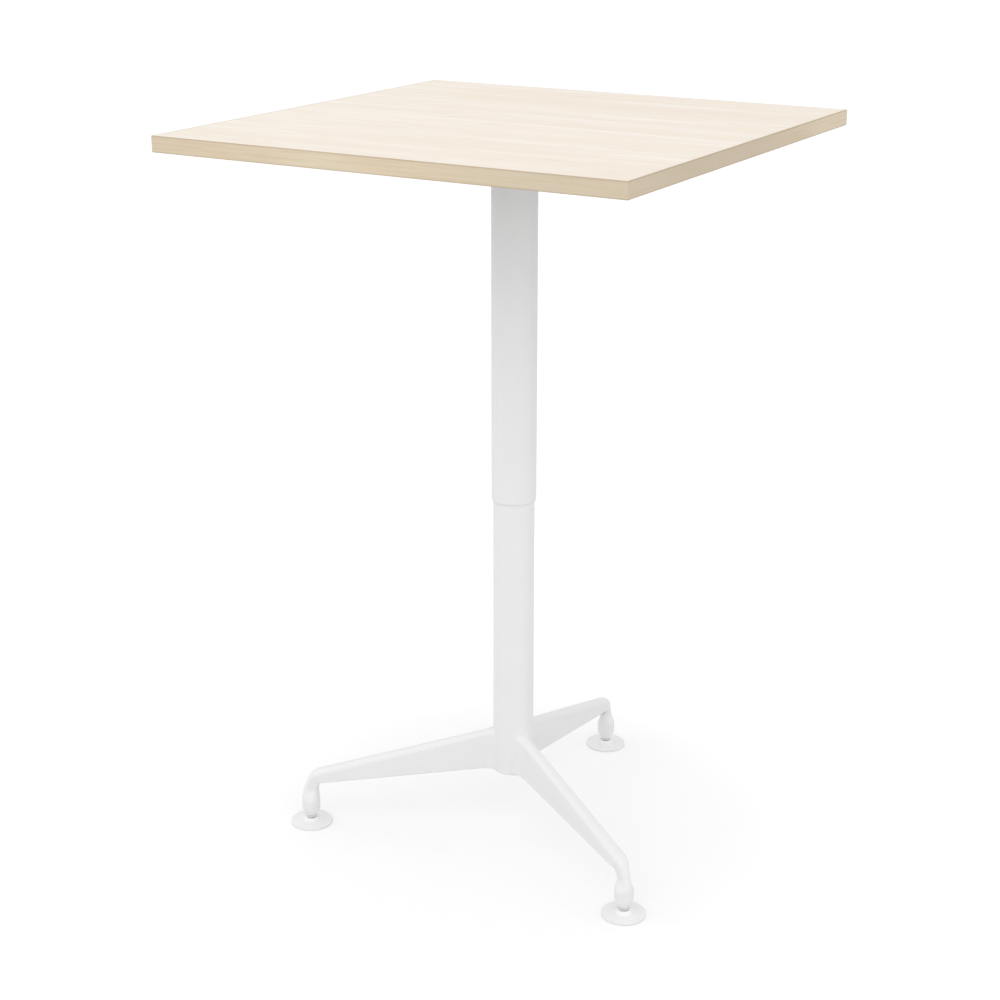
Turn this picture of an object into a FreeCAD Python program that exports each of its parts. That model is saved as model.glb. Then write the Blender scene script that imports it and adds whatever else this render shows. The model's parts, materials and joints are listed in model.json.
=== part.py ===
import FreeCAD, Part
import math
import os
import re

import Sketcher

# Driving dimensions in millimetres. The floor is z = 0 and the column stands on the z axis.
# The pieces are drawn with the column fully raised.
SIZES = {
    # Working heights
    "lowered_height": 730,
    "stroke": 350,
    # Table top
    "top_width": 700,
    "top_depth": 700,
    "top_thickness": 22,
    "band_thickness": 2,
    "laminate_thickness": 0.8,
    # Spider under the top
    "boss_wall": 4.9,
    "cavity_wall": 13,
    "bridge_thickness": 12,
    "socket_depth": 17,
    "guide_seat": 4,
    "arm_length": 240,
    "arm_root_width": 46,
    "arm_tip_width": 30,
    "arm_thickness": 8,
    "screw_inner_radius": 120,
    "screw_end_inset": 20,
    "wood_screw_diameter": 5,
    "wood_screw_cover": 8,
    "wood_head_diameter": 10,
    "wood_head_height": 3.5,
    "set_screw_diameter": 6,
    # Column tubes and their guides
    "tube_diameter": 61,
    "tube_wall": 2,
    "sleeve_wall": 1.25,
    "sleeve_clearance": 16.5,
    "liner_wall": 1,
    "liner_length": 40,
    "liner_lip": 1.5,
    "lip_inset": 0.4,
    "bush_flange": 8,
    "bush_plug": 30,
    "bush_web": 2.59,
    "stop_height": 8,
    "stop_clearance": 0.5,
    "stop_gap": 2,
    "guide_wall": 2,
    "guide_foot_gap": 40,
    # Locking gas spring
    "cylinder_clearance": 2,
    "cylinder_wall": 2,
    "cylinder_end_flange": 6,
    "cylinder_end_plug": 10,
    "stud_diameter": 10,
    "stud_end": 2.2,
    "stud_nut_wall": 3.5,
    "stud_nut_height": 8,
    "washer_rim": 6,
    "washer_thickness": 1.8,
    "rod_margin": 36,
    "gland_length": 20,
    "gland_cap": 4,
    "piston_gap": 10,
    "piston_height": 18,
    "rod_diameter": 10,
    "rod_stud_diameter": 8,
    "rod_stud_rise": 12,
    "rod_nut_wall": 2.5,
    "rod_nut_height": 6.5,
    "pin_diameter": 4,
    "pin_length": 36,
    "pin_rise": 3,
    "pin_travel": 2.4,
    "pin_bore_margin": 4,
    # Release lever
    "pivot_inset": 8,
    "pivot_diameter": 6,
    "pivot_length": 42,
    "eye_wall": 2.5,
    "eye_headroom": 0.8,
    "lever_width": 12,
    "lever_thickness": 5,
    "lever_gap": 0.2,
    "crank_clearance": 6,
    "crank_run": 44,
    "crank_drop": 21,
    "lever_run": 77,
    "window_side_gap": 0.5,
    "window_floor_gap": 6.2,
    "grip_length": 78,
    "grip_solid": 38,
    "grip_side": 11,
    "grip_cover": 4,
    "grip_lip": 1,
    "grip_taper": 16,
    # Hub inside the foot of the lower tube
    "hub_bottom": 97,
    "hub_height": 75,
    "hub_wall": 8.4,
    "web_thickness": 12,
    "cap_flange": 2,
    "cap_plug": 5,
    "cap_inset": 0.5,
    "leg_screw_margin": 21,
    "leg_screw_pitch": 26,
    "leg_screw_diameter": 6,
    "screw_tip_gap": 0.4,
    "leg_head_gap": 0.5,
    "leg_head_height": 6,
    # Cast legs: the insets count from the glide's axis
    "glide_radius": 313.5,
    "leg_root_start": 8,
    "leg_root_height": 69.5,
    "leg_root_wall": 10.4,
    "leg_crest_flat": 5,
    "leg_crest_blend": 40,
    "leg_top_inset": 15,
    "leg_top_height": 85,
    "leg_end_straight": 2.9,
    "leg_post_outset": 14,
    "leg_post_inset": 13,
    "leg_post_sink": 2,
    "leg_knee_inset": 16.5,
    "leg_neck_depth": 16.5,
    "leg_belly_reach": 60,
    "leg_belly_radius": 1100,
    "leg_width_top": 17.5,
    "leg_width_knee": 22,
    "leg_width_post": 15,
    "leg_flank_radius": 100,
    "flare_side": 5.5,
    "flare_length": 16.5,
    "flare_radius": 22,
    "channel_wall": 3.25,
    "channel_roof": 5,
    "channel_inset": 14.5,
    "slot_inset": 8.5,
    "slot_floor": 6,
    "slot_roof": 11,
    "crown_radius": 4,
    # Round foot of each leg, from the bottom up
    "bulb_rounding": 5.2,
    "bulb_cup": 17.5,
    "bulb_waist": 6,
    "bulb_taper": 20,
    "bulb_wall": 2.75,
    "bulb_round_radius": 11.4,
    "bulb_radius": 13.6,
    "bulb_top_radius": 8,
    "insert_wall": 1.75,
    "insert_length": 30,
    # Levelling glides
    "stem_diameter": 8,
    "stem_clearance": 3.4,
    "collar_across": 13,
    "collar_height": 3.3,
    "collar_gap": 0.4,
    "neck_gap": 1.6,
    "neck_clearance": 0.57,
    "ball_radius": 3.6,
    "ball_clearance": 0.3,
    "socket_floor": 0.5,
    "socket_grip": 2.4,
    "pad_radius": 32,
    "pad_edge": 2.6,
    "pad_crown": 1.2,
    "pad_boss_wall": 5.1,
    "sole_inset": 2.5,
    "sole_thickness": 1.2,
    # Fits
    "seat_fit": 0.1,
    "slide_fit": 0.15,
    "guide_fit": 0.25,
    "screw_fit": 0.1,
    "hole_fit": 0.3,
    "overrun": 5,
}

# Heights, reaches and radii that follow from the driving dimensions.
PLACES = {
    # Table top
    "raised_height": "lowered_height + stroke",
    "underside": "raised_height - top_thickness",
    "core_bottom": "underside + laminate_thickness",
    "core_thickness": "top_thickness - 2 * laminate_thickness",
    "core_width": "top_width - 2 * band_thickness",
    "core_depth": "top_depth - 2 * band_thickness",
    "wood_screw_top": "raised_height - wood_screw_cover",
    # Tubes, from the inner one out
    "tube_radius": "tube_diameter / 2",
    "tube_bore": "tube_radius - tube_wall",
    "sleeve_bore": "tube_radius + slide_fit + liner_wall + seat_fit",
    "sleeve_radius": "sleeve_bore + sleeve_wall",
    "boss_radius": "sleeve_radius + seat_fit + boss_wall",
    "cavity_radius": "boss_radius - cavity_wall",
    # Spider, lever and rod, from the top down
    "arm_bottom": "underside - arm_thickness",
    "screw_outer_radius": "arm_length - screw_end_inset",
    "eye_radius": "pivot_diameter / 2 + eye_wall",
    "lever_half": "lever_thickness / 2",
    "pivot_height": "underside - eye_headroom - eye_radius",
    "window_bottom": "pivot_height - eye_radius - window_floor_gap",
    "pin_top": "pivot_height - lever_half - lever_gap",
    "pin_bottom": "pin_top - pin_length",
    "pin_bore_bottom": "pin_bottom - pin_travel - pin_bore_margin",
    "rod_top": "pin_top - pin_rise",
    "bridge_top": "rod_top - rod_stud_rise",
    "bridge_bottom": "bridge_top - bridge_thickness",
    "boss_bottom": "bridge_bottom - socket_depth",
    "lever_reach": "boss_radius - pivot_inset",
    "lever_height": "pivot_height - crank_drop",
    "crank_start": "boss_radius + crank_clearance",
    "crank_end": "crank_start + crank_run",
    "grip_start": "crank_end + lever_run",
    "grip_end": "grip_start + grip_length",
    "grip_width": "lever_width + 2 * grip_side",
    "grip_half": "lever_half + grip_cover",
    "grip_half_edge": "lever_half + grip_lip",
    "lever_length": "grip_end - grip_solid",
    # Column
    "web_top": "hub_bottom + hub_height",
    "web_bottom": "web_top - web_thickness",
    "leg_root_top": "hub_bottom + leg_root_height",
    "sleeve_bottom": "leg_root_top + sleeve_clearance + stroke",
    "guide_top": "bridge_bottom + guide_seat",
    "guide_bottom": "web_top + guide_foot_gap + stroke",
    "stop_top": "bridge_bottom - stroke - stop_clearance",
    "bush_top": "stop_top - stop_height",
    "tube_top": "bush_top - bush_flange",
    "bush_half_bore": "(tube_bore - seat_fit - bush_web) / sqrt(2)",
    "guide_width": "2 * (bush_half_bore - guide_fit)",
    "stop_bore": "guide_width / sqrt(2) + stop_gap",
    # Gas spring
    "cylinder_radius": "guide_width / 2 - guide_wall - cylinder_clearance",
    "cylinder_bore": "cylinder_radius - cylinder_wall",
    "cylinder_bottom": "web_top + cylinder_end_flange",
    "cylinder_top": "bridge_bottom - stroke - rod_margin",
    "gland_bottom": "cylinder_top - gland_length",
    "piston_top": "gland_bottom - piston_gap",
    "piston_bottom": "piston_top - piston_height",
    "washer_radius": "stud_diameter / 2 + washer_rim",
    "washer_bottom": "web_bottom - washer_thickness",
    "stud_nut_across": "stud_diameter + 2 * stud_nut_wall",
    "stud_nut_bottom": "washer_bottom - stud_nut_height",
    "stud_bottom": "stud_nut_bottom - stud_end",
    "rod_nut_across": "rod_stud_diameter + 2 * rod_nut_wall",
    # Hub
    "hub_insert_bottom": "hub_bottom + cap_plug + seat_fit",
    "hub_cavity_radius": "tube_bore - seat_fit - hub_wall",
    "leg_screw_low": "hub_bottom + leg_screw_margin",
    "leg_screw_high": "leg_screw_low + leg_screw_pitch",
    "screw_tip": "hub_cavity_radius + screw_tip_gap",
    # Glides and round feet, from the floor up
    "socket_radius": "ball_radius + ball_clearance",
    "ball_height": "sole_thickness + socket_floor + socket_radius",
    "neck_radius": "sqrt(socket_radius * socket_radius - socket_grip * socket_grip) - neck_clearance",
    "sole_radius": "pad_radius - sole_inset",
    "pad_rim_top": "sole_thickness + pad_edge",
    "pad_crown_top": "pad_rim_top + pad_crown",
    "pad_boss_top": "ball_height + socket_grip",
    "pad_boss_radius": "socket_radius + pad_boss_wall",
    "collar_bottom": "pad_boss_top + neck_gap",
    "collar_top": "collar_bottom + collar_height",
    "bulb_bottom": "collar_top + collar_gap",
    "bulb_round_height": "bulb_bottom + bulb_rounding",
    "bulb_edge_height": "bulb_round_height + bulb_cup",
    "bulb_shoulder_height": "bulb_edge_height + bulb_waist",
    "bulb_top": "bulb_shoulder_height + bulb_taper",
    "insert_radius": "stem_diameter / 2 + insert_wall",
    "insert_top": "bulb_bottom + insert_length",
    "bulb_bottom_radius": "insert_radius + bulb_wall",
    "stem_top": "insert_top - stem_clearance",
    # Legs
    "saddle_radius": "tube_radius + seat_fit",
    "root_wall": "saddle_radius + leg_root_wall",
    "leg_post_outer": "glide_radius + leg_post_outset",
    "leg_post_inner": "glide_radius - leg_post_inset",
    "leg_post_bottom": "bulb_shoulder_height - leg_post_sink",
    "leg_knee_reach": "glide_radius - leg_knee_inset",
    "leg_knee_height": "leg_top_height - leg_neck_depth",
    "leg_crest_start": "leg_root_start + leg_crest_flat",
    "leg_crest_reach": "leg_crest_start + leg_crest_blend",
    "leg_run": "glide_radius - leg_top_inset - leg_crest_reach",
    "leg_rise": "leg_root_top - leg_top_height",
    "leg_slant": "sqrt(leg_run * leg_run + leg_rise * leg_rise)",
    "leg_crest_radius": "leg_crest_blend * (leg_slant + leg_run) / leg_rise",
    "leg_crest_end": "leg_crest_reach + leg_crest_blend * leg_run / leg_slant",
    "leg_crest_height": "leg_root_top - leg_crest_blend * leg_rise / leg_slant",
    "leg_corner_height": "leg_root_top - (leg_post_outer - leg_crest_reach) * leg_rise / leg_run",
    "leg_end_foot": "leg_post_bottom + leg_end_straight",
    "leg_end_blend": "leg_corner_height - leg_end_foot",
    "leg_end_radius": "leg_end_blend * (leg_slant + leg_rise) / leg_run",
    "leg_end_reach": "leg_post_outer - leg_end_blend * leg_run / leg_slant",
    "leg_end_height": "leg_corner_height + leg_end_blend * leg_rise / leg_slant",
    "leg_blank_width": "leg_width_knee + 2 * overrun",
    "flare_reach": "tube_bore + flare_length",
    "channel_width": "leg_width_top - 2 * channel_wall",
    "channel_end": "glide_radius - channel_inset",
    "slot_reach": "glide_radius - slot_inset",
    "slot_bottom": "leg_post_bottom + slot_floor",
    "slot_top": "leg_top_height - slot_roof",
    "leg_head_radius": "channel_width / 2 - leg_head_gap",
}

LEG_NAMES = ("front", "rear", "left")
LEG_FIRST_ANGLE = -30
LEG_TURN = 360 / len(LEG_NAMES)
FLARE_DRAFT = 4
SPIDER_ARMS = 4
SPIDER_ANGLE = 45
SET_SCREWS = 3
HEX_SIDES = 6
MATCH_TOLERANCE = 1e-4
UP = FreeCAD.Vector(0, 0, 1)

doc = FreeCAD.newDocument("HeightAdjustableTable")
sheet = doc.addObject("Spreadsheet::Sheet", "Size")
for row, (alias, value) in enumerate(SIZES.items(), start=1):
    sheet.set(f"A{row}", alias)
    sheet.set(f"B{row}", str(value))
    sheet.setAlias(f"B{row}", alias)
doc.recompute()

nodes = []


def bound(text):
    """Writes an expression of size and place names as one of spreadsheet cells."""
    def cell(match):
        word = match[0]
        if word in PLACES:
            return f"({bound(PLACES[word])})"
        return f"Size.{word}" if word in SIZES else word
    return re.sub(r"[a-z_]+", cell, str(text))


def number(text):
    return float(sheet.evalExpression(bound(text)))


def bind(item, **properties):
    for name, text in properties.items():
        item.setExpression(name.replace("__", "."), bound(text))
    return item


def node(item, label):
    item.Label = label
    nodes.append(item)
    return item


def turned(angle):
    return FreeCAD.Placement(FreeCAD.Vector(), FreeCAD.Rotation(UP, angle))


# Solids from primitives

def cylinder(radius, bottom, top):
    item = doc.addObject("Part::Cylinder", "Cylinder")
    return bind(item, Radius=radius, Height=f"({top}) - ({bottom})", Placement__Base__z=bottom)


def prism(across, bottom, top):
    item = doc.addObject("Part::Prism", "Hexagon")
    item.Polygon = HEX_SIDES
    height = f"({top}) - ({bottom})"
    return bind(item, Circumradius=f"({across}) / sqrt(3)", Height=height, Placement__Base__z=bottom)


def box(width, depth, height, x, y, z):
    item = doc.addObject("Part::Box", "Box")
    bind(item, Length=width, Width=depth, Height=height)
    return bind(item, Placement__Base__x=x, Placement__Base__y=y, Placement__Base__z=z)


def cut(base, tool):
    item = doc.addObject("Part::Cut", "Cut")
    item.Base = base
    item.Tool = tool
    return item


def fuse(base, tool):
    item = doc.addObject("Part::Fuse", "Fuse")
    item.Base = base
    item.Tool = tool
    return item


def compound(items):
    group = doc.addObject("Part::Compound", "Group")
    group.Links = items
    return group


def ring(outer, inner, bottom, top):
    return cut(cylinder(outer, bottom, top), cylinder(inner, f"{bottom} - overrun", f"{top} + overrun"))


def radial_cylinder(radius, start, end, height):
    """A round bar that points outwards along x at the given height."""
    item = doc.addObject("Part::Cylinder", "RadialCylinder")
    item.Placement = FreeCAD.Placement(FreeCAD.Vector(), FreeCAD.Rotation(FreeCAD.Vector(0, 1, 0), 90))
    bind(item, Radius=radius, Height=f"({end}) - ({start})")
    return bind(item, Placement__Base__x=start, Placement__Base__z=height)


# Sketches and features

def new_body(label):
    return node(doc.addObject("PartDesign::Body", "Body"), label)


def new_sketch(body, role, x="0", y="0", z="0", angle=0):
    """A sketch on one of the body's origin planes, shifted in the plane's own directions."""
    sketch = body.newObject("Sketcher::SketchObject", "Sketch")
    plane = next(item for item in body.Origin.OriginFeatures if item.Role == role)
    sketch.AttachmentSupport = [(plane, "")]
    sketch.MapMode = "FlatFace"
    sketch.AttachmentOffset = turned(angle)
    bind(sketch, AttachmentOffset__Base__x=x, AttachmentOffset__Base__y=y, AttachmentOffset__Base__z=z)
    return sketch


def constrain(sketch, kind, *where):
    *places, text = where
    index = sketch.addConstraint(Sketcher.Constraint(kind, *places, number(text)))
    sketch.setExpression(f"Constraints[{index}]", bound(text))


def circle(sketch, x, y, radius):
    centre = FreeCAD.Vector(number(x), number(y), 0)
    index = sketch.addGeometry(Part.Circle(centre, UP, number(radius)))
    constrain(sketch, "DistanceX", -1, 1, index, 3, x)
    constrain(sketch, "DistanceY", -1, 1, index, 3, y)
    constrain(sketch, "Radius", index, radius)


def arc_between(start, end, radius):
    """The shorter arc from start to end. A positive radius turns left, a negative one right."""
    chord = end - start
    height = math.sqrt(radius * radius - chord.Length * chord.Length / 4)
    left = FreeCAD.Vector(-chord.y, chord.x, 0).normalize()
    centre = (start + end) / 2 + left * math.copysign(height, radius)
    first, last = (start, end) if radius > 0 else (end, start)
    angles = [math.atan2(point.y - centre.y, point.x - centre.x) for point in (first, last)]
    return Part.ArcOfCircle(Part.Circle(centre, UP, abs(radius)), *angles)


def outline(sketch, points):
    """A closed outline. Each point is (x, y) and, where an arc leaves it, (x, y, radius, side)."""
    places = [FreeCAD.Vector(number(point[0]), number(point[1]), 0) for point in points]
    ends = []
    for index, point in enumerate(points):
        start = places[index]
        end = places[(index + 1) % len(points)]
        if len(point) == 2:
            ends.append((sketch.addGeometry(Part.LineSegment(start, end)), 1, 2))
            continue
        edge = sketch.addGeometry(arc_between(start, end, number(point[2]) * point[3]))
        ends.append((edge, 1, 2) if point[3] > 0 else (edge, 2, 1))
    for index, point in enumerate(points):
        edge, first, _ = ends[index]
        before, _, last = ends[index - 1]
        sketch.addConstraint(Sketcher.Constraint("Coincident", before, last, edge, first))
        constrain(sketch, "DistanceX", -1, 1, edge, first, point[0])
        constrain(sketch, "DistanceY", -1, 1, edge, first, point[1])
        if len(point) > 2:
            constrain(sketch, "Radius", edge, point[2])


def rectangle(sketch, half_x, half_y):
    outline(sketch, [(f"-({half_x})", f"-({half_y})"), (half_x, f"-({half_y})"),
                     (half_x, half_y), (f"-({half_x})", half_y)])


def pad(body, sketch, length, midplane=False, draft=0):
    feature = body.newObject("PartDesign::Pad", "Pad")
    feature.Profile = sketch
    feature.Midplane = midplane
    feature.TaperAngle = draft
    bind(feature, Length=length)
    doc.recompute()
    return feature


def check_cut(body, volume_before):
    doc.recompute()
    if body.Shape.Volume >= volume_before:
        raise ValueError(f"A cut in {body.Label} removes nothing")


def pocket(body, sketch, length, midplane=False, reverse=False):
    """Cuts against the sketch's normal, or along it when reversed."""
    doc.recompute()
    volume_before = body.Shape.Volume
    feature = body.newObject("PartDesign::Pocket", "Pocket")
    feature.Profile = sketch
    feature.Midplane = midplane
    feature.Reversed = reverse
    bind(feature, Length=length)
    check_cut(body, volume_before)
    return feature


def turn_profile(body, sketch, kind):
    feature = body.newObject(f"PartDesign::{kind}", kind)
    feature.Profile = sketch
    feature.ReferenceAxis = (sketch, ["V_Axis"])
    feature.Angle = 360
    doc.recompute()


def revolve(body, sketch):
    turn_profile(body, sketch, "Revolution")


def groove(body, sketch):
    volume_before = body.Shape.Volume
    turn_profile(body, sketch, "Groove")
    check_cut(body, volume_before)


def polar(body, features, count):
    pattern = body.newObject("PartDesign::PolarPattern", "PolarPattern")
    pattern.Originals = features
    axis = next(item for item in body.Origin.OriginFeatures if item.Role == "Z_Axis")
    pattern.Axis = (axis, [""])
    pattern.Angle = 360
    pattern.Occurrences = count
    body.Tip = pattern
    doc.recompute()
    return pattern


# Table top

def spider_screw_holes(body, top, depth, radius):
    sketch = new_sketch(body, "XY_Plane", z=top, angle=SPIDER_ANGLE)
    circle(sketch, "screw_inner_radius", "0", radius)
    circle(sketch, "screw_outer_radius", "0", radius)
    return pocket(body, sketch, depth)


def board(label, thickness, bottom, hole_top=None):
    body = new_body(label)
    sketch = new_sketch(body, "XY_Plane", z=bottom)
    rectangle(sketch, "core_width / 2", "core_depth / 2")
    pad(body, sketch, thickness)
    if hole_top:
        depth = f"{hole_top} - {bottom} + overrun"
        holes = spider_screw_holes(body, hole_top, depth, "wood_screw_diameter / 2 + screw_fit")
        polar(body, [holes], SPIDER_ARMS)


def table_top():
    board("backing_laminate", "laminate_thickness", "underside", "core_bottom")
    board("top_core", "core_thickness", "core_bottom", "wood_screw_top + screw_fit")
    board("top_laminate", "laminate_thickness", "core_bottom + core_thickness")
    long_x = "-top_width / 2"
    for label, side in (("edge_band_front", "-top_depth / 2"), ("edge_band_back", "core_depth / 2")):
        node(box("top_width", "band_thickness", "top_thickness", long_x, side, "underside"), label)
    short_y = "-core_depth / 2"
    for label, side in (("edge_band_left", "-top_width / 2"), ("edge_band_right", "core_width / 2")):
        node(box("band_thickness", "core_depth", "top_thickness", side, short_y, "underside"), label)


# Spider that carries the top on the sleeve

def spider():
    body = new_body("spider")
    sketch = new_sketch(body, "XY_Plane", z="boss_bottom")
    circle(sketch, "0", "0", "boss_radius")
    pad(body, sketch, "underside - boss_bottom")

    sketch = new_sketch(body, "XY_Plane", z="arm_bottom", angle=SPIDER_ANGLE)
    outline(sketch, [("0", "-arm_root_width / 2"), ("arm_length", "-arm_tip_width / 2"),
                     ("arm_length", "arm_tip_width / 2"), ("0", "arm_root_width / 2")])
    arm = pad(body, sketch, "arm_thickness")
    holes = spider_screw_holes(body, "underside", "arm_thickness + overrun",
                               "wood_screw_diameter / 2 + hole_fit")
    polar(body, [arm, holes], SPIDER_ARMS)

    sketch = new_sketch(body, "XY_Plane", z="underside")
    circle(sketch, "0", "0", "cavity_radius")
    pocket(body, sketch, "underside - bridge_top")

    sketch = new_sketch(body, "XY_Plane", z="bridge_bottom")
    circle(sketch, "0", "0", "sleeve_radius + seat_fit")
    pocket(body, sketch, "socket_depth + overrun")

    sketch = new_sketch(body, "XY_Plane", z="guide_top")
    rectangle(sketch, "guide_width / 2 + seat_fit", "guide_width / 2 + seat_fit")
    pocket(body, sketch, "guide_seat")

    sketch = new_sketch(body, "XY_Plane", z="bridge_top")
    circle(sketch, "0", "0", "rod_stud_diameter / 2 + seat_fit")
    pocket(body, sketch, "bridge_thickness")

    half_window = "(lever_width / 2 + window_side_gap)"
    sketch = new_sketch(body, "YZ_Plane")
    outline(sketch, [(f"-{half_window}", "window_bottom"), (half_window, "window_bottom"),
                     (half_window, "underside"), (f"-{half_window}", "underside")])
    pocket(body, sketch, "boss_radius + arm_root_width")

    sketch = new_sketch(body, "XZ_Plane")
    circle(sketch, "-lever_reach", "pivot_height", "pivot_diameter / 2 + seat_fit")
    pocket(body, sketch, "2 * boss_radius", midplane=True)

    sketch = new_sketch(body, "YZ_Plane")
    circle(sketch, "0", "boss_bottom + socket_depth / 2", "set_screw_diameter / 2 + screw_fit")
    hole = pocket(body, sketch, "boss_radius + overrun", reverse=True)
    polar(body, [hole], SET_SCREWS)


def spider_fasteners():
    screws = []
    for arm in range(SPIDER_ARMS):
        for reach in ("screw_inner_radius", "screw_outer_radius"):
            head = cylinder("wood_head_diameter / 2", "arm_bottom - wood_head_height", "arm_bottom")
            shank = cylinder("wood_screw_diameter / 2", "arm_bottom", "wood_screw_top")
            for item in (head, shank):
                bind(item, Placement__Base__x=reach)
            screw = fuse(head, shank)
            screw.Placement = turned(SPIDER_ANGLE + 360 * arm / SPIDER_ARMS)
            screws.append(screw)
    node(compound(screws), "spider_screws")
    grubs = []
    for index in range(SET_SCREWS):
        grub = radial_cylinder("set_screw_diameter / 2", "sleeve_radius + seat_fit",
                               "boss_radius - seat_fit", "boss_bottom + socket_depth / 2")
        turn = compound([grub])
        turn.Placement = turned(360 * index / SET_SCREWS)
        grubs.append(turn)
    node(compound(grubs), "sleeve_set_screws")


# Telescoping column

def column():
    node(ring("sleeve_radius", "sleeve_bore", "sleeve_bottom", "bridge_bottom"), "upper_sleeve")

    liner = fuse(cylinder("sleeve_bore - seat_fit", "sleeve_bottom", "sleeve_bottom + liner_length"),
                 cylinder("sleeve_radius - lip_inset", "sleeve_bottom - liner_lip", "sleeve_bottom"))
    bore = cylinder("tube_radius + slide_fit", "sleeve_bottom - liner_lip - overrun",
                    "sleeve_bottom + liner_length + overrun")
    node(cut(liner, bore), "sleeve_liner")

    body = new_body("guide_tube")
    sketch = new_sketch(body, "XY_Plane", z="guide_bottom")
    rectangle(sketch, "guide_width / 2", "guide_width / 2")
    rectangle(sketch, "guide_width / 2 - guide_wall", "guide_width / 2 - guide_wall")
    pad(body, sketch, "guide_top - (guide_bottom)")

    body = new_body("lower_tube")
    sketch = new_sketch(body, "XY_Plane", z="hub_bottom")
    circle(sketch, "0", "0", "tube_radius")
    circle(sketch, "0", "0", "tube_bore")
    pad(body, sketch, "tube_top - hub_bottom")
    leg_screw_holes(body, "leg_screw_diameter / 2 + hole_fit", "tube_radius + overrun")
    body.Placement = turned(LEG_FIRST_ANGLE)

    body = new_body("guide_bush")
    sketch = new_sketch(body, "XY_Plane", z="tube_top")
    circle(sketch, "0", "0", "sleeve_bore - slide_fit")
    rectangle(sketch, "bush_half_bore", "bush_half_bore")
    pad(body, sketch, "bush_flange")
    sketch = new_sketch(body, "XY_Plane", z="tube_top - bush_plug")
    circle(sketch, "0", "0", "tube_bore - seat_fit")
    rectangle(sketch, "bush_half_bore", "bush_half_bore")
    pad(body, sketch, "bush_plug")

    node(ring("sleeve_bore - guide_fit", "stop_bore", "bush_top", "stop_top"), "bump_stop")


def leg_screw_pair(body, radius, end):
    """Two radial holes one above the other, from the axis out to the given distance."""
    sketch = new_sketch(body, "YZ_Plane")
    circle(sketch, "0", "leg_screw_low", radius)
    circle(sketch, "0", "leg_screw_high", radius)
    return pocket(body, sketch, end, reverse=True)


def leg_screw_holes(body, radius, end):
    polar(body, [leg_screw_pair(body, radius, end)], len(LEG_NAMES))


# Locking gas spring

def gas_spring():
    flange = cylinder("cylinder_radius", "web_top", "cylinder_bottom")
    plug_top = "cylinder_bottom + cylinder_end_plug"
    plug = cylinder("cylinder_bore - seat_fit", "cylinder_bottom", plug_top)
    stud = cylinder("stud_diameter / 2", "stud_bottom", "web_top")
    node(fuse(fuse(flange, plug), stud), "cylinder_end")
    node(ring("cylinder_radius", "cylinder_bore", "cylinder_bottom", "cylinder_top"), "gas_cylinder")

    gland = fuse(cylinder("cylinder_bore - seat_fit", "gland_bottom", "cylinder_top"),
                 cylinder("cylinder_radius", "cylinder_top", "cylinder_top + gland_cap"))
    bore = cylinder("rod_diameter / 2 + slide_fit", "gland_bottom - overrun",
                    "cylinder_top + gland_cap + overrun")
    node(cut(gland, bore), "gas_gland")

    stud_bore = "stud_diameter / 2 + screw_fit"
    node(ring("washer_radius", stud_bore, "washer_bottom", "web_bottom"), "stud_washer")
    node(cut(prism("stud_nut_across", "stud_nut_bottom", "washer_bottom"),
             cylinder(stud_bore, "stud_nut_bottom - overrun", "washer_bottom + overrun")), "stud_nut")

    rod_bore = "rod_diameter / 2 + seat_fit"
    node(ring("cylinder_bore - slide_fit", rod_bore, "piston_bottom", "piston_top"), "piston")
    rod = fuse(cylinder("rod_diameter / 2", "piston_bottom", "guide_top"),
               cylinder("rod_stud_diameter / 2", "guide_top", "rod_top"))
    pin_bore = cylinder("pin_diameter / 2 + slide_fit", "pin_bore_bottom", "rod_top + overrun")
    node(cut(rod, pin_bore), "piston_rod")
    node(cut(prism("rod_nut_across", "bridge_top", "bridge_top + rod_nut_height"),
             cylinder("rod_stud_diameter / 2 + screw_fit", "bridge_top - overrun",
                      "bridge_top + rod_nut_height + overrun")), "rod_nut")
    node(cylinder("pin_diameter / 2", "pin_bottom", "pin_top"), "release_pin")


# Release lever

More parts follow.
